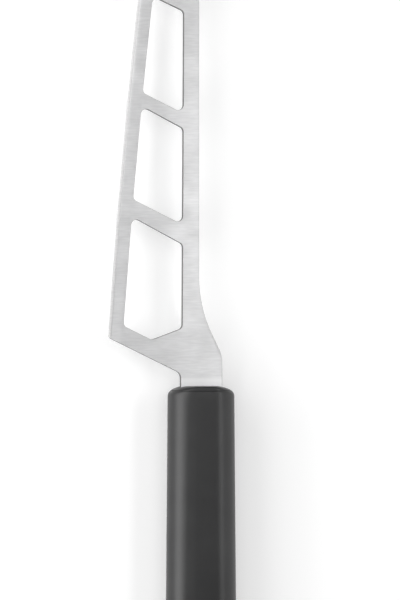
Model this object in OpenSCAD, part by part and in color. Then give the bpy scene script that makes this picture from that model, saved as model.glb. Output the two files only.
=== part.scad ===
// Soft-cheese knife with an openwork blade, lying on its side.
// The knife points along +Y, the cutting edge faces -X and +Z is up.
// Places along the knife are counted from the front of the handle, and heights from the middle of the blade,
// until placed() moves the knife onto its origin: the middle of its box, at the surface that it lies on.

/* [Blade] */
// Thickness of the steel sheet
sheet_t = 1.8; // [1.4:0.1:2.4]
// Reach of the blade in front of the handle
blade_len = 147; // [130:1:165]
// Distance of the spine from the handle's axis, towards the cutting edge
spine_drop = 0.8; // [0:0.1:2]
// Width of the neck where it enters the handle
neck_w = 13.2; // [12.4:0.1:15]
// Distance of the heel's corner from the handle's axis
heel_depth = 29.5; // [28:0.5:32]
// Distance of the heel's corner from the handle
heel_y = 15.2; // [14:0.1:16.5]
// Slant of the heel
heel_angle = 26.1; // [23:0.1:28]
// Width of the blade where its belly starts
tip_w = 18.6; // [17.5:0.1:20]
// Bow of the cutting edge between the heel and the belly
edge_bow = 0.6; // [0.2:0.1:1.2]
// Rounding of the heel's corner
heel_r = 1.3; // [0.5:0.1:2]
// Inner rounding between the heel and the neck
neck_r = 2.5; // [1:0.1:4]
// Slant of the spine where it widens to the neck
flare_angle = 25.5; // [22:0.5:30]
// Distance of the widened spine's foot from the handle
flare_y = 9.5; // [8:0.5:11]
// Rounding where the straight spine starts to widen
flare_r = 40; // [25:1:50]
// Rounding at the widened spine's foot
flare_foot_r = 8; // [4:0.5:12]

/* [Windows] */
// Width of the strip between the windows and the cutting edge
edge_strip = 4.5; // [4.2:0.1:5.5]
// Width of the strip between the lowest window and the spine
heel_strip = 5.3; // [4.5:0.1:6]
// Width of the strip between the highest window and the spine
tip_strip = 4.8; // [4:0.1:6]
// Distance of the lowest window from the handle, at the spine's strip
window_y = 18; // [17.2:0.1:19]
// Lengths of the lower two windows at the spine's strip, from the handle
window_lens = [26.2, 30]; // [24:0.1:33]
// Distance from the highest window to the start of the belly, at the spine's strip
tip_land = 10.1; // [8:0.1:20]
// Widths of the two ribs at the spine's strip, from the handle
rib_feet = [6.1, 4.7]; // [3.5:0.1:7]
// Slants of the windows' upper sides, from the handle
head_angles = [27.9, 27.3, 24.3]; // [22:0.1:30]
// Slants of the upper two windows' lower sides, from the handle
foot_angles = [26.1, 25.7]; // [22:0.1:30]
// Slant of the lowest window's foot beside the spine's strip
keel_angle = 20.3; // [18:0.1:23]
// Distance of the lowest window's point from the spine's strip
keel_w = 9.7; // [8:0.1:11]
// Rounding of the windows' corners
window_r = 1.7; // [1:0.1:2.2]

/* [Fork at the tip] */
// Distance from the start of the belly to the tips
belly_len = 20; // [17:0.5:22]
// Rounding of the belly
belly_r = 24; // [18:1:26]
// Slant of the lower prong's outer side
prong_angle = 48; // [42:1:52]
// Depth of the gap between the prongs
fork_len = 11; // [9:0.5:12]
// Width of the gap at its bottom
fork_gap = 5; // [4.6:0.1:5.6]
// Width of the spine's prong at the bottom of the gap
prong_w = 3.9; // [3.2:0.1:4.5]
// Width of each prong's blunt tip
tip_blunt = 1.8; // [1.4:0.1:2.2]
// Rise of the upper prong's tip over the spine
prong_lift = 2.2; // [1:0.1:3]
// Rounding where the spine starts to rise to the upper prong
lift_r = 90; // [40:5:110]
// Lean of the lower prong's tip over the gap
prong_lean = 0.5; // [0:0.1:1]
// Distance of the lower prong's tip behind the upper one
prong_step = 2.5; // [1.5:0.1:3.5]

/* [Cutting edge] */
// Width of the ground face, square to the edge
grind_w = 3.8; // [3:0.1:4.2]
// Width of the honed face along the edge
hone_w = 0.8; // [0.5:0.1:1.2]
// Thickness where the honed face starts
hone_t = 0.7; // [0.5:0.05:0.9]

/* [Tang] */
// Width of the tang inside the core
tang_w = 11; // [9:0.5:12]
// Distance from the tang's end to the end cap's plug
tang_gap = 8; // [2:0.5:20]
// Diameter of the pins
pin_d = 4; // [3:0.5:5]
// Distance of the first pin from the front of the handle
pin_y = 22; // [18:1:26]
// Distance of the last pin from the tang's end
pin_tail = 12; // [6:0.5:20]
// Number of pins
pin_count = 3; // [2:1:3]

/* [Handle] */
// Length of the handle
grip_len = 122; // [118:1:135]
// Width of the handle at its front
grip_front_w = 21; // [20.4:0.1:22]
// Width of the handle at its round end
grip_rear_w = 22.75; // [22.2:0.05:24]
// Thickness of the handle
grip_t = 16; // [15:0.5:17]
// Length of the rounding at the front's two sides, along the handle
nose_len = 2.7; // [2:0.1:3.5]
// Width of the rounding at the front's two sides
nose_w = 5; // [3:0.1:5.5]
// Length of the rounding above and below the front, along the handle
lip_len = 0.8; // [0.6:0.1:2]
// Height of the rounding above and below the front
lip_h = 0.8; // [0.6:0.1:2]
// Thickness of the sleeve's wall at the front
sleeve_wall = 2.4; // [2:0.1:2.8]
// Length of the collar's visible rim
rim_len = 1.4; // [1:0.1:2]
// Length of the collar's plug inside the sleeve
plug_len = 6.6; // [5:0.1:9]
// Length of the visible end cap
cap_len = 24; // [21:0.5:26]
// Length of the cap's plug inside the sleeve
cap_plug_len = 10; // [6:0.5:12]
// Diameter of the hanging eye
eye_d = 8; // [6:0.5:9]
// Width of the bevel round the eye's mouths
eye_bevel = 0.8; // [0.4:0.1:1.2]

/* [Hidden] */

// Clearance between pieces that slot into each other
fit = 0.1;
// Radial clearance of the pins in their holes
pin_fit = 0.05;
// Distance of the pins' ends below the core's faces
pin_inset = 0.2;
// Steel outside the cutting edge on the stamped blank, which the grinding takes off
blank_margin = 0.1;
// Rounding of the tang's end
tang_r = 3;
// How far a cut runs past what it cuts
overrun = 1;
// Share of half a blunt end or gap that its corners' rounding takes
end_round_share = 0.95;
// Largest distance between an arc and the straight stretches that stand for it
arc_error = 0.01;
// Number of straight stretches along the bowed edge
edge_stretches = 5;
// Turn between two sections of the handle's rounded front, and the thickness of the discs that they are drawn with
nose_step = 15;
disc_t = 0.01;
// Facets of the true round surfaces, and of the grip's shell
$fn = 96;
shell_fn = 32;

steel = [0.8, 0.8, 0.81];
pin_steel = [0.66, 0.66, 0.68];
grip_grey = [0.24, 0.24, 0.25];
core_grey = [0.45, 0.45, 0.47];

spine_x = -spine_drop;
edge_end = [spine_x - tip_w, blade_len - belly_len];
shoulder_y = -(rim_len + plug_len);
grip_r = grip_t / 2;
cavity_w = grip_front_w - 2 * sleeve_wall;
cavity_t = grip_t - 2 * sleeve_wall;
core_t = cavity_t - 2 * fit;
cap_y = -(grip_len - cap_len);
core_rear_y = cap_y + cap_plug_len;
tang_len = -core_rear_y - tang_gap;
pin_pitch = (tang_len - pin_tail - pin_y) / (pin_count - 1);
eye_y = -(grip_len - grip_rear_w / 2);

// Points and arcs

function unit(v) = v / norm(v);

// Points of an arc of radius r that rounds the corner b between a and c.
function round_corner(a, b, c, r) =
    let (
        u = unit(a - b),
        v = unit(c - b),
        half = acos(u * v) / 2,
        centre = b + unit(u + v) * r / sin(half),
        start = b + u * r / tan(half) - centre,
        turn = (180 - 2 * half) * sign(cross(v, u)),
        steps = ceil(abs(turn) / (2 * acos(1 - arc_error / r))),
        first = atan2(start[1], start[0])
    )
    [for (i = [0:steps]) centre + r * [cos(first + turn * i / steps), sin(first + turn * i / steps)]];

// An outline from corners, each given as [point, rounding].
function rounded(corners) =
    let (n = len(corners))
    [
        for (i = [0:n - 1])
            let (
                before = corners[(i + n - 1) % n][0],
                after = corners[(i + 1) % n][0]
            )
            each corners[i][1] == 0 ? [corners[i][0]] : round_corner(before, corners[i][0], after, corners[i][1])
    ];

// The cutting edge

// Place of the cutting edge at the height y: a straight line with a shallow bow.
function edge_x(y) =
    let (t = (y - heel_y) / (edge_end[1] - heel_y))
    -heel_depth + (edge_end[0] + heel_depth) * t - 4 * edge_bow * t * (1 - t);

// Slant of the edge where the belly starts, as a rise across per rise along.
end_slope = (edge_end[0] + heel_depth + 4 * edge_bow) / (edge_end[1] - heel_y);

edge_points = [
    for (i = [edge_stretches:-1:0])
        let (y = heel_y + (edge_end[1] - heel_y) * i / edge_stretches)
        [edge_x(y), y]
];

// The fork and the belly

upper_gap_x = spine_x - prong_w;
lower_gap_x = upper_gap_x - fork_gap;
upper_tip = [spine_x + prong_lift, blade_len];
lower_tip = [lower_gap_x + prong_lean, blade_len - prong_step];
lower_tip_out = lower_tip - [tip_blunt / 2, 0];

// The corner that the belly rounds: where the edge's line meets the lower prong's outer side.
belly_corner =
    let (
        rise = tan(prong_angle),
        y = (edge_end[0] - end_slope * edge_end[1] - lower_tip_out[0] + rise * lower_tip_out[1]) / (rise - end_slope)
    )
    [edge_end[0] + end_slope * (y - edge_end[1]), y];

belly_arc = round_corner(lower_tip_out, belly_corner, edge_end, belly_r);
cutting_line = concat([lower_tip_out], belly_arc, edge_points);

// The stamped blank's outline

blank_step = blank_margin * [-1, tan(heel_angle)];
flare_top_y = flare_y + (neck_w / 2 - spine_x) / tan(flare_angle);
heel_foot_y = heel_y - (heel_depth - neck_w / 2) * tan(heel_angle);
tip_r = tip_blunt / 2 * end_round_share;
gap_r = fork_gap / 2 * end_round_share;
gap_y = blade_len - fork_len;

blade_outline = rounded(concat(
    [
        [[tang_w / 2, -tang_len], tang_r],
        [[tang_w / 2, shoulder_y], 0],
        [[neck_w / 2, shoulder_y], 0],
        [[neck_w / 2, flare_y], flare_foot_r],
        [[spine_x, flare_top_y], flare_r],
        [[spine_x, edge_end[1]], lift_r],
        [upper_tip + [tip_blunt / 2, 0], tip_r],
        [upper_tip - [tip_blunt / 2, 0], tip_r],
        [[upper_gap_x, gap_y], gap_r],
        [[lower_gap_x, gap_y], gap_r],
        [lower_tip + [tip_blunt / 2, 0], tip_r],
        [lower_tip_out + blank_step, tip_r],
        [belly_corner + blank_step, belly_r],
    ],
    [for (i = [0:edge_stretches - 1]) [edge_points[i] + blank_step, 0]],
    [
        [[-heel_depth, heel_y] + blank_step, heel_r],
        [[-neck_w / 2, heel_foot_y], neck_r],
        [[-neck_w / 2, shoulder_y], 0],
        [[-tang_w / 2, shoulder_y], 0],
        [[-tang_w / 2, -tang_len], tang_r],
    ]
));

// The windows

window_feet = [
    window_y,
    window_y + window_lens[0] + rib_feet[0],
    window_y + window_lens[0] + rib_feet[0] + window_lens[1] + rib_feet[1],
];
window_heads = [
    window_feet[0] + window_lens[0],
    window_feet[1] + window_lens[1],
    edge_end[1] - tip_land,
];

// Place of the windows' sides at the spine's strip and at the edge's strip.
function spine_side(y) =
    let (t = (y - window_feet[0]) / (window_heads[2] - window_feet[0]))
    spine_x - heel_strip + (heel_strip - tip_strip) * t;
function edge_side(y) = edge_x(y) + edge_strip;

// Height at which a side that starts at the point from, and slants by angle, meets the edge's strip.
function meet_y(from, angle, y, rounds = 4) =
    rounds == 0 ? y : meet_y(from, angle, from[1] + (from[0] - edge_side(y)) * tan(angle), rounds - 1);

function spine_corner(y) = [spine_side(y), y];
function edge_corner(from, angle) =
    let (y = meet_y(from, angle, from[1]))
    [edge_side(y), y];

function upper_corners(i) =
    let (corner = spine_corner(window_heads[i]))
    [corner, edge_corner(corner, head_angles[i])];

function lower_corners(i) =
    let (corner = spine_corner(window_feet[i]))
    i > 0
        ? [edge_corner(corner, foot_angles[i - 1]), corner]
        : let (keel = corner - keel_w * [1, tan(keel_angle)])
          [edge_corner(keel, heel_angle), keel, corner];

function window_outline(i) =
    rounded([for (corner = concat(upper_corners(i), lower_corners(i))) [corner, window_r]]);

// Cuts both faces of the blade along the line from p to q, with the blade on the line's left. The cut faces pass
// through thickness deep_t at the distance deep from the line, and through thickness shallow_t at shallow.
module grind(p, q, deep, deep_t, shallow, shallow_t) {
    slope = atan2((deep_t - shallow_t) / 2, deep - shallow);
    reach = deep + sheet_t;
    translate([p[0], p[1], 0])
        rotate([0, 0, atan2(q[1] - p[1], q[0] - p[0])])
            for (side = [0, 1])
                mirror([0, 0, side])
                    translate([-deep, deep, deep_t / 2])
                        rotate([slope, 0, 0])
                            translate([0, -reach, 0])
                                cube([norm(q - p) + 2 * deep, reach, sheet_t]);
}

// The row of pins, or of holes for them, across the middle of the blade.
module pins(d, h) {
    for (i = [0:pin_count - 1])
        translate([0, -(pin_y + i * pin_pitch), 0])
            cylinder(d = d, h = h, center = true);
}

// An oval bar along the handle: flat above and below, with round sides.
module oval_bar(w, t, from_y, to_y) {
    for (side = [-1, 1])
        translate([side * (w - t) / 2, from_y, 0])
            rotate([90, 0, 0])
                cylinder(d = t, h = from_y - to_y);
    translate([(t - w) / 2, to_y, -t / 2])
        cube([w - t, from_y - to_y, t]);
}

// Sections of the handle's rounded front, each as [depth, width, thickness]: a quarter of an ellipse at the sides
// and a shorter one above and below.
nose_sections = [
    for (a = [0:nose_step:90])
        let (
            depth = nose_len * (1 - cos(a)),
            lip = max(1 - depth / lip_len, 0)
        )
        [depth, grip_front_w - 2 * nose_w * (1 - sin(a)), grip_t - 2 * lip_h * (1 - sqrt(1 - lip * lip))]
];

// The corners of one section, as thin discs.
module nose_discs(depth, w, t) {
    r = min(w, t) / 2;
    for (x = [-1, 1], z = [-1, 1])
        translate([x * (w / 2 - r), -depth, z * (t / 2 - r)])
            rotate([90, 0, 0])
                cylinder(r = r, h = disc_t, $fn = shell_fn);
}

// The whole outer shape of the handle: an oval that widens to its round end.
module grip_shape() {
    hull() {
        for (section = nose_sections)
            nose_discs(section[0], section[1], section[2]);
        translate([0, eye_y, 0])
            rotate_extrude($fn = shell_fn)
                intersection() {
                    translate([grip_rear_w / 2 - grip_r, 0])
                        circle(r = grip_r, $fn = shell_fn);
                    translate([0, -grip_r])
                        square([grip_rear_w / 2, grip_t]);
                }
    }
}

// The stretch of the handle's outer shape between two places along it.
module grip_stretch(from_y, to_y) {
    intersection() {
        grip_shape();
        translate([-grip_rear_w, to_y, -grip_t])
            cube([2 * grip_rear_w, from_y - to_y, 2 * grip_t]);
    }
}

// The opening through the middle of the handle for the flat steel, wider than it by the clearance.
module steel_slot(w, from_y, to_y) {
    translate([-w / 2 - fit, to_y, -sheet_t / 2 - fit])
        cube([w + 2 * fit, from_y - to_y, sheet_t + 2 * fit]);
}

module blade() {
    color(steel)
        difference() {
            translate([0, 0, -sheet_t / 2])
                linear_extrude(sheet_t)
                    polygon(blade_outline);
            for (i = [0:2])
                translate([0, 0, -sheet_t])
                    linear_extrude(2 * sheet_t)
                        polygon(window_outline(i));
            for (i = [0:len(cutting_line) - 2]) {
                grind(cutting_line[i], cutting_line[i + 1], grind_w, sheet_t, hone_w, hone_t);
                grind(cutting_line[i], cutting_line[i + 1], hone_w, hone_t, 0, 0);
            }
            pins(pin_d + 2 * pin_fit, grip_t);
        }
}

module front_collar() {
    color(grip_grey)
        difference() {
            union() {
                grip_stretch(0, -rim_len);
                oval_bar(cavity_w - 2 * fit, core_t, -rim_len, shoulder_y);
            }
            steel_slot(neck_w, overrun, shoulder_y - overrun);
        }
}

// One half of the core, on the upper side where side is 1 and on the lower side where it is -1.
module core_half(side) {
    color(core_grey)
        difference() {
            intersection() {
                oval_bar(cavity_w - 2 * fit, core_t, shoulder_y, core_rear_y);
                translate([-cavity_w, core_rear_y, side > 0 ? 0 : -cavity_t])
                    cube([2 * cavity_w, shoulder_y - core_rear_y, cavity_t]);
            }
            steel_slot(tang_w, shoulder_y + overrun, -tang_len - fit);
            pins(pin_d + 2 * pin_fit, grip_t);
        }
}

module core_upper() {
    core_half(1);
}

module core_lower() {
    core_half(-1);
}

module tang_pins() {
    color(pin_steel)
        pins(pin_d, core_t - 2 * pin_inset);
}

module grip_sleeve() {
    color(grip_grey)
        difference() {
            grip_stretch(-rim_len, cap_y);
            oval_bar(cavity_w, cavity_t, 0, cap_y - overrun);
        }
}

module end_cap() {
    color(grip_grey)
        difference() {
            union() {
                grip_stretch(cap_y, -grip_len - overrun);
                oval_bar(cavity_w - 2 * fit, core_t, core_rear_y, cap_y);
            }
            translate([0, eye_y, 0]) {
                cylinder(d = eye_d, h = 2 * grip_t, center = true);
                for (side = [0, 1])
                    mirror([0, 0, side])
                        translate([0, 0, grip_r - eye_bevel])
                            cylinder(d1 = eye_d, d2 = eye_d + 4 * eye_bevel, h = 2 * eye_bevel);
            }
        }
}

// Moves the knife onto its origin. It reaches from the heel's corner to the far side of the round end.
module placed() {
    translate([(heel_depth - grip_rear_w / 2) / 2, -(blade_len - grip_len) / 2, grip_r])
        children();
}

placed() blade();
placed() front_collar();
placed() core_upper();
placed() core_lower();
placed() tang_pins();
placed() grip_sleeve();
placed() end_cap();
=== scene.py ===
import cmath
import math

import bmesh
import bpy
import numpy as np
from mathutils import Matrix, Vector
from mathutils.geometry import delaunay_2d_cdt


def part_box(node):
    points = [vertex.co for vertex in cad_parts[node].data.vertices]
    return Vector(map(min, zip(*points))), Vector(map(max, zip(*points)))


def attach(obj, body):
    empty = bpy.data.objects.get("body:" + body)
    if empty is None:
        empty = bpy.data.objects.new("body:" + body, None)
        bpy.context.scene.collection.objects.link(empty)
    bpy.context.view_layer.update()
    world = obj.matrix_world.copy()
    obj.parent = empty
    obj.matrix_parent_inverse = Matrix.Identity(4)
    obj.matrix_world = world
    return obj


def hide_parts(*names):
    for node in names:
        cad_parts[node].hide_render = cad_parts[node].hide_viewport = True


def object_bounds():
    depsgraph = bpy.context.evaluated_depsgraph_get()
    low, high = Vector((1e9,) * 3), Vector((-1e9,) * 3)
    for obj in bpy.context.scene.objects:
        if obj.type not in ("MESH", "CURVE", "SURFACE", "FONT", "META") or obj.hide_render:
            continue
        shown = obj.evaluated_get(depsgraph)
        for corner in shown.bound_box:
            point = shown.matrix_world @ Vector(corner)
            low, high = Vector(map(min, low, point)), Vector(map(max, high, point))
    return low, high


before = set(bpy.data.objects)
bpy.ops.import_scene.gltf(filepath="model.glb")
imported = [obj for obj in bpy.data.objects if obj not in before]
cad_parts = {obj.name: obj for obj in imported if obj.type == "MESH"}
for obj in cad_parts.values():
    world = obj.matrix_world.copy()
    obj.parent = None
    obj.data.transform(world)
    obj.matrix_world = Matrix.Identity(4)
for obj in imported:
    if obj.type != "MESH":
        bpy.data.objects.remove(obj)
cad_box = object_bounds()

# The knife's own frame: places along it are counted from the front of the handle, heights from the middle
# of the blade, and all in millimetres, as in the part's source. Points in a plane are complex numbers.
MM = 0.001
blade_low, blade_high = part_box("blade")
collar_low, collar_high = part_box("front_collar")
cap_low, cap_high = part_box("end_cap")
axis_x = (collar_low.x + collar_high.x) / 2
front_y = collar_high.y
middle_z = (blade_low.z + blade_high.z) / 2


def place(x, y, z):
    """Turn a point of the knife's own frame into a point of the shared one."""
    return Vector((axis_x + x * MM, front_y + y * MM, middle_z + z * MM))


# Blade
sheet_t = (blade_high.z - blade_low.z) / MM
blade_len = (blade_high.y - front_y) / MM
tang_len = (front_y - blade_low.y) / MM
spine_x = -0.8
neck_w = 13.2
heel_depth = 29.5
heel_y = 15.2
heel_angle = math.radians(26.1)
tip_w = 18.6
edge_bow = 0.6
heel_r = 1.3
neck_r = 2.5
flare_angle = math.radians(25.5)
flare_y = 9.5
flare_r = 40
flare_foot_r = 8
tang_w = 11
tang_r = 3
shoulder_y = -8

# Windows
edge_strip = 4.5
heel_strip = 5.3
tip_strip = 4.8
window_y = 18
window_lens = (26.2, 30)
tip_land = 10.1
rib_feet = (6.1, 4.7)
head_angles = [math.radians(degrees) for degrees in (27.9, 27.3, 24.3)]
foot_angles = [math.radians(degrees) for degrees in (26.1, 25.7)]
keel_angle = math.radians(20.3)
keel_w = 9.7
window_r = 1.7

# Fork at the tip
belly_len = 20
belly_r = 24
prong_angle = math.radians(48)
fork_len = 11
fork_gap = 5
prong_w = 3.9
tip_blunt = 1.8
prong_lift = 2.2
lift_r = 90
prong_lean = 0.5
prong_step = 2.5
end_round_share = 0.95

# Cutting edge
grind_w = 3.8
hone_w = 0.8
hone_t = 0.7
grind_entry = math.tan(math.radians(3))

# Pins
pin_hole_r = 2.05
pin_y = 22
pin_tail = 12
pin_count = 3

# Handle. Its front differs from the part's source: the oval runs on to a crisp edge, and soft_share says
# how far its corners lean from a plain cut towards a full rounding.
grip_len = (front_y - cap_low.y) / MM
grip_t = (cap_high.z - cap_low.z) / MM
grip_rear_w = (cap_high.x - cap_low.x) / MM
grip_front_w = 21
grip_r = grip_t / 2
nose_len = 3.2
nose_w = 7.2
lip_len = 0.6
lip_h = 0.6
soft_share = 0.6
sleeve_wall = 2.4
fit = 0.1
rim_len = 1.4
plug_len = 6.6
cap_len = 24
cap_plug_len = 10
eye_r = 4
eye_bevel = 0.8
bore_w = grip_front_w - 2 * sleeve_wall
bore_t = grip_t - 2 * sleeve_wall
plug_w = bore_w - 2 * fit
plug_t = bore_t - 2 * fit
cap_y = -(grip_len - cap_len)

# Small roundings that only the picture model has. The flared spine's is widest between its middle places.
seam_r = 0.13
wall_round = 0.06
flare_round_w = 0.6
flare_round_h = 0.1
flare_round_places = (7, 11, 16, 30)
flare_round_shares = (0, 1, 1, 0)
support = 0.1

# Fineness of the meshes, and how far helping lines run past an outline
ARC_ERROR = 0.004
SAME_PLACE = 1e-6
LONGEST = 2.5
MARGIN = 1
EDGE_MARGIN = 5
SMALLEST_CAP = 0.01
QUARTER = 14
NOSE_STEPS = 16
FINE_STEPS = 400
EDGE_STEPS = 40
GRIND_STEPS = 6
ROUND_END_STEPS = 72
SEARCH_STEPS = 40
CORNER_SEARCH_STEPS = 4
WALL_ANGLES = [math.radians(degrees) for degrees in (0, 20, 40, 60, 78)]
LIP_ANGLES = [math.radians(degrees) for degrees in range(0, 90, 8)]
SEAM_ANGLES = [math.radians(degrees) for degrees in (0, 30, 60, 90)]
SMOOTH_ANGLE = math.radians(38)
SEAM_STEPS = [(seam_r * (1 - math.cos(turn)), seam_r * (1 - math.sin(turn))) for turn in SEAM_ANGLES]


# Plane geometry

def unit(v):
    """Return a plane vector at length one."""
    return v / abs(v)


def arc_steps(turn, radius):
    """Count the straight stretches that stand for an arc."""
    return math.ceil(abs(turn) / (2 * math.acos(1 - ARC_ERROR / radius)))


def round_corner(before, corner, after, radius):
    """List the points of an arc that rounds a corner."""
    u = unit(before - corner)
    v = unit(after - corner)
    half = math.acos((u * v.conjugate()).real) / 2
    centre = corner + unit(u + v) * radius / math.sin(half)
    start = corner + u * radius / math.tan(half) - centre
    turn = math.copysign(math.pi - 2 * half, (v.conjugate() * u).imag)
    steps = arc_steps(turn, radius)
    return [centre + start * cmath.exp(1j * turn * i / steps) for i in range(steps + 1)]


def rounded(corners):
    """Make an outline from corners, each given as (point, rounding)."""
    outline = []
    for i, (corner, radius) in enumerate(corners):
        if radius == 0:
            outline.append(corner)
        else:
            after = corners[(i + 1) % len(corners)][0]
            outline += round_corner(corners[i - 1][0], corner, after, radius)
    return outline


def circle(centre, radius):
    """List the points of a circle."""
    steps = arc_steps(2 * math.pi, radius)
    return [centre + radius * cmath.exp(2j * math.pi * i / steps) for i in range(steps)]


def refined(loop):
    """Split an outline's long stretches."""
    fine = []
    for start, end in zip(loop, loop[1:] + loop[:1]):
        steps = math.ceil(abs(end - start) / LONGEST)
        fine += [start + (end - start) * k / steps for k in range(steps)]
    return fine


def moved_in(line, distances, closed):
    """Move each point of a line to its left by its own distance, square to the line."""
    moved = []
    count = len(line)
    for i, point in enumerate(line):
        before = line[i - 1] if closed or i > 0 else 2 * line[0] - line[1]
        after = line[(i + 1) % count] if closed or i < count - 1 else 2 * line[-1] - line[-2]
        first = unit(point - before) * 1j
        second = unit(after - point) * 1j
        middle = unit(first + second)
        moved.append(point + middle * distances[i] / (middle * first.conjugate()).real)
    return moved


def distances_to(points, line, closed):
    """Give each point's distance to a line, and the place on the line that is nearest."""
    starts = np.array(line if closed else line[:-1])
    ends = np.array(line[1:] + line[:1] if closed else line[1:])
    along = ends - starts
    offset = points[:, None] - starts[None, :]
    share = np.clip((offset * along.conj()).real / abs(along) ** 2, 0, 1)
    gap = abs(offset - share * along)
    nearest = gap.argmin(axis=1)
    rows = np.arange(len(points))
    return gap[rows, nearest], (starts + share * along)[rows, nearest]


def inside(points, loops):
    """Tell which points lie inside an odd number of the loops."""
    crossed = np.zeros(len(points), dtype=int)
    for loop in loops:
        starts = np.array(loop)
        ends = np.roll(starts, -1)
        low = points.imag[:, None]
        spans = (starts.imag > low) != (ends.imag > low)
        rise = np.where(ends.imag == starts.imag, 1, ends.imag - starts.imag)
        at = starts.real + (low - starts.imag) * (ends.real - starts.real) / rise
        crossed += (spans & (at > points.real[:, None])).sum(axis=1)
    return crossed % 2 == 1


def triangulate(loops, lines):
    """Cover the region inside the loops with triangles whose sides follow the loops and lines."""
    points = []
    edges = []
    for k, line in enumerate(loops + lines):
        start = len(points)
        points += [Vector((p.real, p.imag)) for p in line]
        edges += [(start + i, start + i + 1) for i in range(len(line) - 1)]
        if k < len(loops):
            edges.append((len(points) - 1, start))
    found = delaunay_2d_cdt(points, edges, [], 0, SAME_PLACE, False)
    places = np.array([complex(v.x, v.y) for v in found[0]])
    triangles = np.array([face for face in found[2] if len(face) == 3])
    a, b, c = (places[triangles[:, k]] for k in range(3))
    area = abs(((b - a).conj() * (c - a)).imag)
    kept = inside((a + b + c) / 3, loops) & (area > SAME_PLACE ** 2)
    return places, triangles[kept].tolist()


def boundary(triangles):
    """List the directed sides that only one triangle has."""
    sides = {(t[k], t[(k + 1) % 3]) for t in triangles for k in range(3)}
    return [side for side in sides if side[::-1] not in sides]


def corners_of(faces):
    """Collect the corners that faces or sides have."""
    return {corner for face in faces for corner in face}


# Mesh building

def add_face(mesh, corners, material=0):
    """Add a face unless its corners run together."""
    distinct = list(dict.fromkeys(corners))
    if len(distinct) > 2:
        mesh.faces.new(distinct).material_index = material


def mirrored_shell(mesh, places, triangles, heights, face_materials, walls, wall_material):
    """Add a face at the given heights, its mirror image below, and the walls along the sides given."""
    upper = {}
    lower = {}
    for i in corners_of(triangles):
        p = places[i]
        upper[i] = mesh.verts.new(place(p.real, p.imag, heights[i]))
        lower[i] = upper[i] if heights[i] == 0 else mesh.verts.new(place(p.real, p.imag, -heights[i]))
    for triangle, material in zip(triangles, face_materials):
        if max(heights[i] for i in triangle) > 0:
            add_face(mesh, [upper[i] for i in triangle], material)
            add_face(mesh, [lower[i] for i in reversed(triangle)], material)
    levels = {}
    for i in corners_of(walls):
        p = places[i]
        height = heights[i]
        rows = [upper[i], lower[i]]
        if height > 2 * support:
            steps = (height - support, support - height)
            rows[1:1] = [mesh.verts.new(place(p.real, p.imag, step)) for step in steps]
        levels[i] = rows
    for start, end in walls:
        first = levels[start]
        second = levels[end]
        if len(first) == len(second):
            for k in range(len(first) - 1):
                add_face(mesh, [second[k], first[k], first[k + 1], second[k + 1]], wall_material)
        else:
            add_face(mesh, second[:1] + first + second[:0:-1], wall_material)
    return upper, lower


def loft(mesh, rings):
    """Join rings of vertices, each to the next."""
    for front, rear in zip(rings, rings[1:]):
        for i in range(len(front)):
            add_face(mesh, [front[i - 1], front[i], rear[i], rear[i - 1]])


def add_end(mesh, outer, inner, y):
    """Cover the flat face between two upright sections, one inside the other."""
    places, triangles = triangulate([outer, inner], [])
    corners = {i: mesh.verts.new(place(places[i].real, y, places[i].imag)) for i in corners_of(triangles)}
    for triangle in triangles:
        add_face(mesh, [corners[i] for i in triangle])


def finished(name, mesh, materials, replaced):
    """Turn a built mesh into a named piece in the place of a node of the frame."""
    bmesh.ops.remove_doubles(mesh, verts=mesh.verts, dist=0.5 * ARC_ERROR * MM)
    bmesh.ops.recalc_face_normals(mesh, faces=mesh.faces)
    data = bpy.data.meshes.new(name)
    mesh.to_mesh(data)
    mesh.free()
    data.shade_smooth()
    data.set_sharp_from_angle(angle=SMOOTH_ANGLE)
    for material in materials:
        data.materials.append(material)
    piece = bpy.data.objects.new(name, data)
    bpy.context.scene.collection.objects.link(piece)
    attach(piece, "root")
    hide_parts(replaced)
    return piece


# Blade outlines

edge_end = complex(spine_x - tip_w, blade_len - belly_len)


def edge_x(y):
    """Place of the cutting edge at a height: a straight line with a shallow bow."""
    share = (y - heel_y) / (edge_end.imag - heel_y)
    return -heel_depth + (edge_end.real + heel_depth) * share - 4 * edge_bow * share * (1 - share)


end_slope = (edge_end.real + heel_depth + 4 * edge_bow) / (edge_end.imag - heel_y)
upper_gap_x = spine_x - prong_w
lower_gap_x = upper_gap_x - fork_gap
upper_tip = complex(spine_x + prong_lift, blade_len)
lower_tip = complex(lower_gap_x + prong_lean, blade_len - prong_step)
lower_tip_out = lower_tip - tip_blunt / 2
prong_slope = math.tan(prong_angle)
belly_y = edge_end.real - end_slope * edge_end.imag - lower_tip_out.real + prong_slope * lower_tip_out.imag
belly_y /= prong_slope - end_slope
belly_corner = complex(edge_end.real + end_slope * (belly_y - edge_end.imag), belly_y)


def cutting_line():
    """The sharp edge from the lower prong to the heel's corner, before its corners are rounded."""
    belly = round_corner(lower_tip_out, belly_corner, edge_end, belly_r)
    heights = [edge_end.imag + (heel_y - edge_end.imag) * i / EDGE_STEPS for i in range(EDGE_STEPS + 1)]
    return [lower_tip_out] + belly + [complex(edge_x(y), y) for y in heights]


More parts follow.
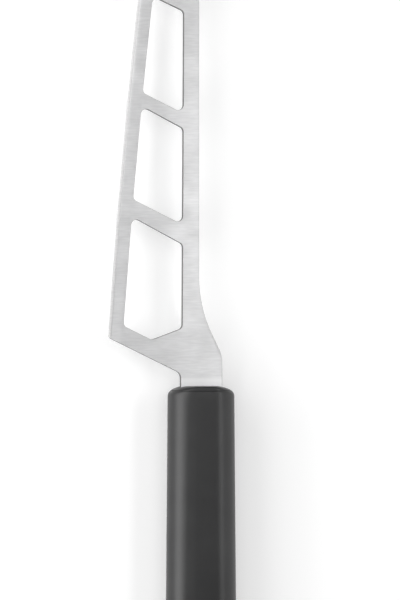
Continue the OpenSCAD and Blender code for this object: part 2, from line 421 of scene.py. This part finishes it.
def blade_outline():
    """The outline of the blade and its tang, round the tang, the spine, the fork, the edge and the heel."""
    half_neck = neck_w / 2
    half_tang = tang_w / 2
    flare_top = flare_y + (half_neck - spine_x) / math.tan(flare_angle)
    heel_foot = heel_y - (heel_depth - half_neck) * math.tan(heel_angle)
    tip_r = tip_blunt / 2 * end_round_share
    gap_r = fork_gap / 2 * end_round_share
    gap_y = blade_len - fork_len
    corners = [
        (complex(half_tang, -tang_len), tang_r),
        (complex(half_tang, shoulder_y), 0),
        (complex(half_neck, shoulder_y), 0),
        (complex(half_neck, flare_y), flare_foot_r),
        (complex(spine_x, flare_top), flare_r),
        (complex(spine_x, edge_end.imag), lift_r),
        (upper_tip + tip_blunt / 2, tip_r),
        (upper_tip - tip_blunt / 2, tip_r),
        (complex(upper_gap_x, gap_y), gap_r),
        (complex(lower_gap_x, gap_y), gap_r),
        (lower_tip + tip_blunt / 2, tip_r),
        (lower_tip_out, tip_r),
    ]
    corners += [(point, 0) for point in cutting_line()[1:-1]]
    corners += [
        (complex(-heel_depth, heel_y), heel_r),
        (complex(-half_neck, heel_foot), neck_r),
        (complex(-half_neck, shoulder_y), 0),
        (complex(-half_tang, shoulder_y), 0),
        (complex(-half_tang, -tang_len), tang_r),
    ]
    return rounded(corners)


def window_outlines():
    """The outlines of the three windows."""
    feet = [window_y]
    for length, rib in zip(window_lens, rib_feet):
        feet.append(feet[-1] + length + rib)
    heads = [foot + length for foot, length in zip(feet, window_lens)]
    heads.append(edge_end.imag - tip_land)

    def spine_corner(y):
        share = (y - feet[0]) / (heads[2] - feet[0])
        return complex(spine_x - heel_strip + (heel_strip - tip_strip) * share, y)

    def edge_corner(start, angle):
        y = start.imag
        for _ in range(CORNER_SEARCH_STEPS):
            y = start.imag + (start.real - edge_x(y) - edge_strip) * math.tan(angle)
        return complex(edge_x(y) + edge_strip, y)

    outlines = []
    for i in range(3):
        head = spine_corner(heads[i])
        foot = spine_corner(feet[i])
        corners = [head, edge_corner(head, head_angles[i])]
        if i > 0:
            corners += [edge_corner(foot, foot_angles[i - 1]), foot]
        else:
            keel = foot - keel_w * complex(1, math.tan(keel_angle))
            corners += [edge_corner(keel, heel_angle), keel, foot]
        outlines.append(rounded([(corner, window_r) for corner in corners]))
    return outlines


def rounding_at(points):
    """Width and height of the wall's rounding at places on the outline: wider along the flared spine."""
    share = np.interp(points.imag, flare_round_places, flare_round_shares)
    share = np.where(points.real > spine_x - MARGIN, share, 0)
    width = wall_round + (flare_round_w - wall_round) * share
    height = wall_round + (flare_round_h - wall_round) * share
    return width, height


def grind_height(distance):
    """Half the blade's thickness at a distance from the cutting line."""
    depth = np.clip(grind_w - distance, 0, grind_w - hone_w)
    span = grind_w - hone_w
    bend = ((sheet_t - hone_t) / 2 - grind_entry * span) / span ** 2
    ground = sheet_t / 2 - grind_entry * depth - bend * depth ** 2
    honed = hone_t / 2 * distance / hone_w
    return np.where(distance < hone_w, honed, ground)


def blade_heights(places, walls, edge):
    """Half the blade's thickness at each place, and its distances to the edge and to the nearest wall."""
    gap, nearest = distances_to(places, walls[0], False)
    for loop in walls[1:]:
        loop_gap, loop_nearest = distances_to(places, loop, True)
        nearest = np.where(loop_gap < gap, loop_nearest, nearest)
        gap = np.minimum(gap, loop_gap)
    width, height = rounding_at(nearest)
    short_share = 1 - np.clip(gap / width, 0, 1)
    round_top = sheet_t / 2 - height * (1 - np.sqrt(1 - short_share ** 2))
    to_edge, _ = distances_to(places, edge, False)
    top = np.minimum(round_top, grind_height(to_edge))
    return np.where(top < ARC_ERROR, 0, top), to_edge, gap


def build_blade(materials):
    """The blade with its windows, its ground and honed edge and its tang."""
    outline = refined(blade_outline())
    windows = [refined(loop) for loop in window_outlines()]
    pin_pitch = (tang_len - pin_tail - pin_y) / (pin_count - 1)
    holes = [circle(complex(0, -(pin_y + i * pin_pitch)), pin_hole_r) for i in range(pin_count)]
    edge = cutting_line()
    edge[0] = edge[0] + EDGE_MARGIN * unit(edge[0] - edge[1])
    edge[-1] = edge[-1] + EDGE_MARGIN * unit(edge[-1] - edge[-2])
    off_edge, _ = distances_to(np.array(outline), edge, False)
    sharp = off_edge < ARC_ERROR
    first = int(np.flatnonzero(sharp & ~np.roll(sharp, -1))[-1])
    wall_line = outline[first:] + outline[:first]
    sharp = np.concatenate((sharp[first:], sharp[:first]))
    wall_line = wall_line[:int(np.flatnonzero(sharp[1:])[0]) + 2]

    inner_lines = []
    for line, closed, side in [(wall_line, False, 1)] + [(loop, True, -1) for loop in windows + holes]:
        width, _ = rounding_at(np.array(line))
        insets = [width * (1 - math.sin(angle)) for angle in WALL_ANGLES] + [width + support]
        for inset in insets:
            moved = moved_in(line, [side * distance for distance in inset], closed)
            inner_lines.append(moved + moved[:1] if closed else moved)
    grind_steps = [hone_w + (grind_w - hone_w) * k / GRIND_STEPS for k in range(GRIND_STEPS + 1)]
    for step in grind_steps + [grind_w + 3 * support]:
        inner_lines.append(moved_in(edge, [step] * len(edge), False))
    places, triangles = triangulate([outline] + windows + holes, inner_lines)
    walls = [wall_line] + windows + holes
    heights, _, _ = blade_heights(places, walls, edge)
    middles = places[np.array(triangles)].mean(axis=1)
    _, to_edge, to_wall = blade_heights(middles, walls, edge)
    # The walls and their small roundings take the darker steel, whose painted shade also keeps the roundings
    # from showing a glint.
    face_materials = np.where(to_wall < wall_round, 1, np.where(to_edge < hone_w, 2, 0)).tolist()
    mesh = bmesh.new()
    mirrored_shell(mesh, places, triangles, heights, face_materials, boundary(triangles), 1)
    return finished("blade_steel", mesh, materials, "blade")


# Handle sections

def ring_of(mesh, points, y):
    """A ring of vertices at the points of an upright section."""
    return [mesh.verts.new(place(p.real, y, p.imag)) for p in points]


def oval_ring(mesh, width, thick, y):
    """A ring of vertices round an upright oval, from its +X side over the top."""
    points = []
    for k, way in enumerate((1, -1, -1, 1)):
        centre = way * (width - thick) / 2
        for i in range(QUARTER + 1):
            points.append(centre + thick / 2 * cmath.exp(0.5j * math.pi * (k + i / QUARTER)))
    return ring_of(mesh, points, y)


def section_of(vertices):
    """The places of a ring's vertices in their section."""
    return [complex(v.co.x - axis_x, v.co.z - middle_z) / MM for v in vertices]


def respread(points, flat, width, thick):
    """Spread a section's points over an oval, each on its bearing from the middle of its round side."""
    spread = []
    for p in points:
        out = abs(p.real) - flat
        if out > 0:
            moved = (width - thick) / 2 + thick / 2 * unit(complex(out, p.imag))
        else:
            moved = complex(abs(p.real) / flat * (width - thick) / 2, math.copysign(thick / 2, p.imag))
        spread.append(complex(math.copysign(moved.real, p.real), moved.imag))
    return spread


eye_centre = complex(0, -(grip_len - grip_rear_w / 2))
nose_end = complex(grip_front_w / 2, -nose_len)
lean = math.atan2(nose_end.real, nose_end.imag - eye_centre.imag)
side_slant = math.asin(grip_rear_w / 2 / abs(nose_end - eye_centre)) - lean


def half_width(y):
    """Half the handle's width behind its rounded front, where its sides are straight."""
    return nose_end.real + (nose_end.imag - y) * math.tan(side_slant)


def joint_rings(mesh, surface, y, way):
    """Rings of a small rounding from a ring on the surface to a seam, towards +Y where the way is 1."""
    points = section_of(surface)
    rings = [surface]
    for drop, along in SEAM_STEPS[1:]:
        rings.append(ring_of(mesh, moved_in(points, [drop] * len(points), True), y - way * along))
    return rings


# Handle's front: the oval bar, cut to a rounded outline and rounded off along it

def front_arc(from_depth, to_depth, steps=NOSE_STEPS):
    """Places on the front's rounded corner on the +X side, seen from above, from one depth to another."""
    start = math.asin(1 - from_depth / nose_len)
    end = math.asin(1 - to_depth / nose_len)
    turns = [start + (end - start) * k / steps for k in range(steps + 1)]
    return [nose_end + complex(nose_w * (math.cos(turn) - 1), nose_len * math.sin(turn)) for turn in turns]


def across(side):
    """Carry a line on the +X side on to its mirror image."""
    return side + [complex(-p.real, p.imag) for p in reversed(side)]


def front_heights(places):
    """Half the handle's thickness at places near its front, between a plain cut and a full rounding."""
    flat = half_width(places.imag) - grip_r
    out = np.clip(abs(places.real) - flat, 0, None)
    depth_share = np.clip((places.imag - nose_end.imag) / nose_len, 0, 1)
    reach = half_width(places.imag) - nose_w * (1 - np.sqrt(1 - depth_share ** 2)) - flat
    plain_share = np.sqrt(1 - np.clip(out / grip_r, 0, 1) ** 2)
    round_share = np.sqrt(1 - np.clip(out / reach, 0, 1) ** 2)
    to_front, _ = distances_to(places, across(front_arc(nose_len, 0, FINE_STEPS)), False)
    lip_share = 1 - np.clip(to_front / lip_len, 0, 1)
    edge_share = 1 - lip_h / grip_r * (1 - np.sqrt(1 - lip_share ** 2))
    heights = grip_r * edge_share * (plain_share * (1 - soft_share) + round_share * soft_share)
    return np.where(heights < 2 * ARC_ERROR, 0, heights)


def front_shell(mesh, side, open_lines):
    """Add the handle's surface between a line on its +X side and that line's mirror image.

    Returns the ring of vertices at each open line across the handle, and the one round the neck's slot.
    """
    outline = across(front_arc(nose_len, 0))
    insets = [2 * lip_len * (1 - math.sin(angle)) for angle in LIP_ANGLES]
    lines = [moved_in(outline, [inset] * len(outline), False) for inset in insets]
    for k in range(QUARTER):
        x = grip_front_w / 2 - grip_r + grip_r * math.sin(0.5 * math.pi * k / QUARTER)
        lines += [[complex(way * x, MARGIN), complex(way * x, side[0].imag - MARGIN)] for way in (1, -1)]
    places, triangles = triangulate([across(side)], lines)
    heights = front_heights(places)
    upper, lower = mirrored_shell(mesh, places, triangles, heights, [0] * len(triangles), [], 0)
    walls = [
        edge for edge in boundary(triangles)
        if all(max(abs(places[i].imag - y) for i in edge) > ARC_ERROR for y in open_lines)
    ]

    # Each wall goes down in five faces, and the middle one is left out where the neck's slot is.
    columns = {}
    for i in corners_of(walls):
        p = places[i]
        inner = min(sheet_t / 2 + fit, heights[i] / 2)
        near = max(heights[i] - support, (heights[i] + inner) / 2)
        between = [upper[i]] * 4
        if heights[i] > 0:
            between = [mesh.verts.new(place(p.real, p.imag, z)) for z in (near, inner, -inner, -near)]
        columns[i] = [upper[i]] + between + [lower[i]]
    slot_x = neck_w / 2 + fit + ARC_ERROR
    opening = set()
    for start, end in walls:
        first = columns[start]
        second = columns[end]
        for k in range(len(first) - 1):
            if k == 2 and max(abs(places[start].real), abs(places[end].real)) < slot_x:
                opening |= {start, end}
            else:
                add_face(mesh, [second[k], first[k], first[k + 1], second[k + 1]])

    def in_order(found):
        return sorted(found, key=lambda i: -places[i].real)

    rings = []
    for y in open_lines:
        row = in_order(i for i in upper if abs(places[i].imag - y) < ARC_ERROR)
        top = [upper[i] for i in row] + columns[row[-1]][1:-1]
        rings.append(top + [lower[i] for i in reversed(row)] + columns[row[0]][-2:0:-1])
    row = in_order(opening)
    rings.append([columns[i][2] for i in row] + [columns[i][3] for i in reversed(row)])
    return rings


# Front collar

def build_front_collar(material):
    """The rounded front of the handle, with its slot for the neck and its plug."""
    mesh = bmesh.new()
    rear_depth = rim_len - seam_r
    slot_edge = (neck_w / 2 + fit - nose_end.real + nose_w) / nose_w
    slot_depth = nose_len * (1 - math.sqrt(1 - slot_edge ** 2))
    side = front_arc(rear_depth, slot_depth) + front_arc(slot_depth, 0)[1:]
    rear, slot = front_shell(mesh, side, [-rear_depth])
    joint = joint_rings(mesh, rear, -rim_len, -1)
    loft(mesh, joint)
    plug_rear = -(rim_len + plug_len)
    plug = [oval_ring(mesh, plug_w, plug_t, y) for y in (-rim_len, plug_rear)]
    loft(mesh, plug)
    add_end(mesh, section_of(joint[-1]), section_of(plug[0]), -rim_len)
    slot_points = section_of(slot)
    loft(mesh, [slot, ring_of(mesh, slot_points, plug_rear)])
    add_end(mesh, section_of(plug[1]), slot_points, plug_rear)
    return finished("grip_collar", mesh, [material], "front_collar")


# Sleeve

def build_sleeve(material):
    """The long grip, a tube that closes on the collar and the end cap."""
    mesh = bmesh.new()
    front_depth = rim_len + seam_r
    bar_y = nose_end.imag - 2 * lip_len
    side = [complex(half_width(bar_y), bar_y)] + front_arc(nose_len, front_depth)
    front, bar, _ = front_shell(mesh, side, [-front_depth, bar_y])
    joint = joint_rings(mesh, front, -rim_len, 1)
    loft(mesh, joint)
    bar_points = section_of(bar)
    flat = half_width(bar_y) - grip_r
    middle_y = cap_y / 2
    rings = [bar, ring_of(mesh, respread(bar_points, flat, 2 * half_width(middle_y), grip_t), middle_y)]
    end_w = 2 * half_width(cap_y + seam_r)
    for drop, along in SEAM_STEPS:
        points = respread(bar_points, flat, end_w - 2 * drop, grip_t - 2 * drop)
        rings.append(ring_of(mesh, points, cap_y + along))
    loft(mesh, rings)
    bore = [oval_ring(mesh, bore_w, bore_t, y) for y in (-rim_len, cap_y)]
    loft(mesh, bore)
    add_end(mesh, section_of(joint[-1]), section_of(bore[0]), -rim_len)
    add_end(mesh, section_of(rings[-1]), section_of(bore[1]), cap_y)
    return finished("grip_shell", mesh, [material], "grip_sleeve")


# End cap

def cap_height(point):
    """Half the handle's thickness at a place near its round end."""
    if point.imag > eye_centre.imag:
        side = abs(point.real) - half_width(point.imag) + grip_r
    else:
        side = abs(point - eye_centre) - grip_rear_w / 2 + grip_r
    side = min(max(side, 0), grip_r)
    top = math.sqrt(grip_r ** 2 - side ** 2)
    bevel = grip_r - eye_bevel + abs(point - eye_centre) - eye_r
    top = min(top, bevel)
    return 0 if top < SMALLEST_CAP else top


def bevel_loop():
    """The line where the eye's bevel meets the handle's surface."""
    points = []
    for way in circle(0, 1):
        low = eye_r
        high = eye_r + 2 * eye_bevel
        for _ in range(SEARCH_STEPS):
            middle = (low + high) / 2
            reach = grip_r - eye_bevel + middle - eye_r
            if cap_height(eye_centre + way * middle) >= reach:
                low = middle
            else:
                high = middle
        points.append(eye_centre + way * low)
    return points


def build_end_cap(material):
    """The round end with its hanging eye and its plug."""
    mesh = bmesh.new()
    start_y = cap_y - seam_r
    tangent = eye_centre + grip_rear_w / 2 * cmath.exp(1j * side_slant)
    steps = ROUND_END_STEPS
    turns = [side_slant - (math.pi + 2 * side_slant) * i / steps for i in range(1, steps)]
    lines = []
    for k in range(QUARTER + 1):
        inset = grip_r * (1 - math.cos(0.5 * math.pi * k / QUARTER))
        bow = [eye_centre + (grip_rear_w / 2 - inset) * cmath.exp(1j * turn) for turn in turns]
        start = complex(half_width(start_y) - inset, start_y)
        middle = complex(half_width(tangent.imag) - inset, tangent.imag)
        end = [complex(-middle.real, middle.imag), complex(-start.real, start_y)]
        lines.append([start, middle] + bow + end)
    outline = lines[0] + [line[-1] for line in lines[1:]] + [line[0] for line in lines[:0:-1]]
    eye = circle(eye_centre, eye_r)
    ring_out = bevel_loop()
    places, triangles = triangulate([outline[::-1], eye], lines[1:] + [ring_out + ring_out[:1]])
    heights = np.array([cap_height(p) for p in places])
    walls = [
        side for side in boundary(triangles)
        if max(abs(places[i] - eye_centre) for i in side) < eye_r + ARC_ERROR
    ]
    mirrored_shell(mesh, places, triangles, heights, [0] * len(triangles), walls, 0)
    start_w = 2 * half_width(start_y)
    rings = [
        oval_ring(mesh, start_w - 2 * drop, grip_t - 2 * drop, cap_y - along) for drop, along in SEAM_STEPS
    ]
    rings += [oval_ring(mesh, plug_w, plug_t, y) for y in (cap_y, cap_y + cap_plug_len)]
    loft(mesh, rings)
    mesh.faces.new(rings[-1])
    return finished("grip_end_cap", mesh, [material], "end_cap")


# Materials: places along the knife in millimetres, depths of bumps in metres

# The paler strip beside the handle is painted reflection: full up to the first place, gone by the second.
painted_sheen_until = 1.6
painted_sheen_gone_from = 3.4
brush_depth = 0.00002
streak_depth = 0.00003
hone_depth = 0.000005
turning_depth = 0.00001
grain_depth = 0.00003
ramp_shares = (0.3, 0.7)


def new_material(name, metallic):
    """Start a material, and return it with its nodes, links, shader and coordinates."""
    material = bpy.data.materials.new(name)
    material.use_nodes = True
    nodes = material.node_tree.nodes
    shader = nodes["Principled BSDF"]
    shader.inputs["Metallic"].default_value = metallic
    where = nodes.new("ShaderNodeTexCoord").outputs["Object"]
    return material, nodes, material.node_tree.links, shader, where


def stretched_noise(nodes, links, scale, detail, coordinates):
    """Noise whose grain is drawn out by its own scale along each axis."""
    mapping = nodes.new("ShaderNodeMapping")
    mapping.inputs["Scale"].default_value = scale
    links.new(coordinates, mapping.inputs["Vector"])
    noise = nodes.new("ShaderNodeTexNoise")
    noise.inputs["Scale"].default_value = 1
    noise.inputs["Detail"].default_value = detail
    links.new(mapping.outputs["Vector"], noise.inputs["Vector"])
    return noise.outputs["Fac"]


def ramp(nodes, links, value, low, high):
    """Turn a noise into colours or numbers from low to high."""
    node = nodes.new("ShaderNodeValToRGB")
    for element, at, shade in zip(node.color_ramp.elements, ramp_shares, (low, high)):
        element.position = at
        element.color = (shade, shade, shade, 1) if isinstance(shade, float) else (*shade, 1)
    links.new(value, node.inputs["Fac"])
    return node.outputs["Color"]


def mixed(nodes, links, share, first, second, blend="MIX"):
    """Mix two colours, each written out or given by a node, by a share that is a number or a node's."""
    node = nodes.new("ShaderNodeMix")
    node.data_type = "RGBA"
    node.blend_type = blend
    # A mix node has its sockets once for each kind of data, and these are the numbers of the colour ones.
    for number, value in ((0, share), (6, first), (7, second)):
        socket = node.inputs[number]
        if isinstance(value, bpy.types.NodeSocket):
            links.new(value, socket)
        elif isinstance(value, tuple):
            socket.default_value = (*value, 1)
        else:
            socket.default_value = value
    return node.outputs[2]


def add_bump(nodes, links, shader, value, strength, distance):
    """Let a value raise the surface that the shader sees."""
    bump = nodes.new("ShaderNodeBump")
    bump.inputs["Strength"].default_value = strength
    bump.inputs["Distance"].default_value = distance
    links.new(value, bump.inputs["Height"])
    links.new(bump.outputs["Normal"], shader.inputs["Normal"])


def brushed_steel():
    """Stainless sheet brushed across the blade, with a paler strip painted beside the handle: painted
    reflection, a lighter colour where the real steel looks lighter because it reflects less of the dark
    handle.
    """
    material, nodes, links, shader, where = new_material("brushed_steel", 1)
    fine = stretched_noise(nodes, links, (220, 5200, 400), 3, where)
    broad = stretched_noise(nodes, links, (260, 1900, 200), 3, where)
    cloud = stretched_noise(nodes, links, (130, 190, 130), 2, where)
    brushed = ramp(nodes, links, broad, (0.68, 0.68, 0.685), (0.76, 0.76, 0.765))
    clouded = ramp(nodes, links, cloud, (0.94, 0.94, 0.94), (1.0, 1.0, 1.0))
    apart = nodes.new("ShaderNodeSeparateXYZ")
    links.new(where, apart.inputs[0])
    painted_sheen_mask = nodes.new("ShaderNodeMapRange")
    painted_sheen_mask.interpolation_type = "SMOOTHSTEP"
    painted_sheen_mask.inputs["From Min"].default_value = place(0, painted_sheen_until, 0).y
    painted_sheen_mask.inputs["From Max"].default_value = place(0, painted_sheen_gone_from, 0).y
    links.new(apart.outputs["Y"], painted_sheen_mask.inputs["Value"])
    shade = mixed(nodes, links, 1.0, brushed, clouded, "MULTIPLY")
    # Painted reflection: a paler colour beside the handle, fading into the brushed shade.
    painted_sheen_colour = mixed(nodes, links, painted_sheen_mask.outputs["Result"], (0.86, 0.86, 0.865), shade)
    links.new(painted_sheen_colour, shader.inputs["Base Color"])
    rough = ramp(nodes, links, cloud, 0.35, 0.31)
    links.new(rough, shader.inputs["Roughness"])
    shader.inputs["Anisotropic"].default_value = 0.85
    tangent = nodes.new("ShaderNodeTangent")
    tangent.direction_type = "RADIAL"
    tangent.axis = "X"
    links.new(tangent.outputs["Tangent"], shader.inputs["Tangent"])
    add_bump(nodes, links, shader, fine, 0.25, brush_depth)
    return material


def lined_steel(name, scale, shades, roughs, strength, depth):
    """Plain steel with fine lines, drawn out by their own scale along each axis."""
    material, nodes, links, shader, where = new_material(name, 1)
    lines = stretched_noise(nodes, links, scale, 2, where)
    shade = ramp(nodes, links, lines, *shades)
    links.new(shade, shader.inputs["Base Color"])
    rough = ramp(nodes, links, lines, *roughs)
    links.new(rough, shader.inputs["Roughness"])
    add_bump(nodes, links, shader, lines, strength, depth)
    return material


def sheared_steel_painted_shade():
    """The punched walls of the sheet: darker, with faint streaks through the thickness. The darkness is
    partly the duller punched finish and partly painted shade, kept dark so that the walls show as dark lines.
    """
    # Painted shade: far darker than punched steel is, standing in for the shade that these walls show.
    shades = ((0.1, 0.099, 0.098), (0.17, 0.168, 0.166))
    return lined_steel("sheared_steel_painted_shade", (3000, 3000, 300), shades, (0.42, 0.55), 0.3, streak_depth)


def honed_steel():
    """The honed face along the cutting edge, with fine lines square to it."""
    shades = ((0.54, 0.54, 0.54), (0.64, 0.64, 0.64))
    return lined_steel("honed_steel", (300, 7000, 300), shades, (0.3, 0.34), 0.05, hone_depth)


def turned_steel():
    """The pins' steel, with fine turning lines round them."""
    shades = ((0.55, 0.55, 0.57), (0.66, 0.66, 0.68))
    return lined_steel("turned_steel", (300, 300, 5000), shades, (0.26, 0.36), 0.2, turning_depth)


def moulded_plastic(name, dark, light, grain, strength):
    """Moulded plastic with a fine matte grain."""
    material, nodes, links, shader, where = new_material(name, 0)
    grit = stretched_noise(nodes, links, (grain, grain, grain), 4, where)
    cloud = stretched_noise(nodes, links, (90, 90, 90), 3, where)
    shade = ramp(nodes, links, cloud, dark, light)
    links.new(shade, shader.inputs["Base Color"])
    rough = ramp(nodes, links, grit, 0.34, 0.46)
    links.new(rough, shader.inputs["Roughness"])
    shader.inputs["Specular IOR Level"].default_value = 0.45
    add_bump(nodes, links, shader, grit, strength, grain_depth)
    return material


def dress_node(name, material):
    """Give a node of the frame its material."""
    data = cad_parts[name].data
    data.materials.clear()
    data.materials.append(material)


# Stage

PIXEL = 0.3125
PICTURE_PIXELS = 600
SENSOR = 36
LENS = 150
view_tilt = math.radians(12)
view_x = -0.32
view_y = 26.83
lamps_x = -8
lamps_y = 30
floor_reach = 3

# Each lamp's name, tilt, turn, distance, spread, length and radiance, in the order that softbox takes
LAMPS = [
    ("key", -52, -15, 0.9, 25, 1.4, 2.5),
    ("low_left", -77, 5, 0.9, 30, 1.0, 4.6),
    ("overhead", -9.2, 0, 0.9, 41.6, 1.2, 0.84),
    ("close_right", 16, 15, 0.3, 8, 0.1, 2.7),
    ("close_far", 30, 50, 0.3, 8, 0.1, 1.2),
    ("right", 44, 0, 0.9, 15, 0.8, 4.2),
    ("low_right", 74, 0, 0.9, 30, 0.8, 1.1),
]


def make_camera():
    """The camera, tilted to the side of the cutting edge, with the knife upright in the frame."""
    target = place(view_x, view_y, 0)
    back = Vector((-math.sin(view_tilt), 0, math.cos(view_tilt)))
    right = Vector((math.cos(view_tilt), 0, math.sin(view_tilt)))
    up = Vector((0, 1, 0))
    data = bpy.data.cameras.new("camera")
    data.sensor_width = SENSOR
    data.lens = LENS
    distance = PICTURE_PIXELS * PIXEL * MM * LENS / SENSOR
    camera = bpy.data.objects.new("camera", data)
    columns = Matrix((right, up, back)).transposed().to_4x4()
    camera.matrix_world = Matrix.Translation(target + back * distance) @ columns
    bpy.context.scene.collection.objects.link(camera)
    bpy.context.scene.camera = camera


def softbox(name, tilt, turn, distance, spread, length, radiance):
    """A soft rectangular lamp, tilted from overhead towards +X, then turned about the upright axis.

    Its spread is the angle that it fills across its tilt, and its radiance adds to the sky behind it. Angles
    are in degrees, lengths in metres.
    """
    data = bpy.data.lights.new(name, "AREA")
    data.shape = "RECTANGLE"
    width = 2 * distance * math.tan(math.radians(spread / 2))
    data.size = width
    data.size_y = length
    data.energy = math.pi * width * length * radiance
    lamp = bpy.data.objects.new(name, data)
    lamp.visible_camera = False
    aim = Matrix.Translation(place(lamps_x, lamps_y, 0))
    turned = Matrix.Rotation(math.radians(turn), 4, "Z") @ Matrix.Rotation(math.radians(tilt), 4, "Y")
    lamp.matrix_world = aim @ turned @ Matrix.Translation((0, 0, distance))
    bpy.context.scene.collection.objects.link(lamp)


def make_world():
    """Soft light from all round, and white where the camera or a mirror-like surface looks past the floor."""
    world = bpy.data.worlds.new("studio")
    world.use_nodes = True
    bpy.context.scene.world = world
    nodes = world.node_tree.nodes
    links = world.node_tree.links
    background = nodes["Background"]
    background.inputs["Color"].default_value = (1, 1, 1, 1)
    path = nodes.new("ShaderNodeLightPath")
    strength = nodes.new("ShaderNodeMix")
    strength.inputs["A"].default_value = 0.2
    strength.inputs["B"].default_value = 1.0
    links.new(path.outputs["Is Camera Ray"], strength.inputs["Factor"])
    links.new(strength.outputs["Result"], background.inputs["Strength"])


def make_floor():
    """A plain white floor that keeps the knife's shadow."""
    material, nodes, links, shader, _ = new_material("white_floor", 0)
    shader.inputs["Base Color"].default_value = (0.8, 0.8, 0.8, 1)
    shader.inputs["Roughness"].default_value = 0.9
    shader.inputs["Specular IOR Level"].default_value = 0.1
    path = nodes.new("ShaderNodeLightPath")
    seen = nodes.new("ShaderNodeMath")
    seen.operation = "MAXIMUM"
    links.new(path.outputs["Is Camera Ray"], seen.inputs[0])
    links.new(path.outputs["Is Glossy Ray"], seen.inputs[1])
    also = nodes.new("ShaderNodeMath")
    also.operation = "MAXIMUM"
    links.new(seen.outputs[0], also.inputs[0])
    links.new(path.outputs["Is Transmission Ray"], also.inputs[1])
    glow = nodes.new("ShaderNodeMath")
    glow.operation = "MULTIPLY"
    glow.inputs[1].default_value = 0.26
    links.new(also.outputs[0], glow.inputs[0])
    shader.inputs["Emission Color"].default_value = (1, 1, 1, 1)
    links.new(glow.outputs[0], shader.inputs["Emission Strength"])
    mesh = bmesh.new()
    bmesh.ops.create_grid(mesh, x_segments=1, y_segments=1, size=floor_reach)
    data = bpy.data.meshes.new("floor")
    mesh.to_mesh(data)
    mesh.free()
    data.materials.append(material)
    floor = bpy.data.objects.new("floor", data)
    floor.location = (0, 0, cad_box[0].z)
    bpy.context.scene.collection.objects.link(floor)


# Assembly

grip_plastic = moulded_plastic("grip_plastic", (0.012, 0.012, 0.0125), (0.017, 0.017, 0.0175), 4500, 0.35)
core_plastic = moulded_plastic("core_plastic", (0.17, 0.17, 0.18), (0.21, 0.21, 0.22), 2500, 0.2)
build_blade([brushed_steel(), sheared_steel_painted_shade(), honed_steel()])
build_front_collar(grip_plastic)
build_sleeve(grip_plastic)
build_end_cap(grip_plastic)
dress_node("core_upper", core_plastic)
dress_node("core_lower", core_plastic)
dress_node("tang_pins", turned_steel())

make_camera()
make_world()
make_floor()
for lamp in LAMPS:
    softbox(*lamp)
bpy.context.scene.view_settings.view_transform = "Standard"
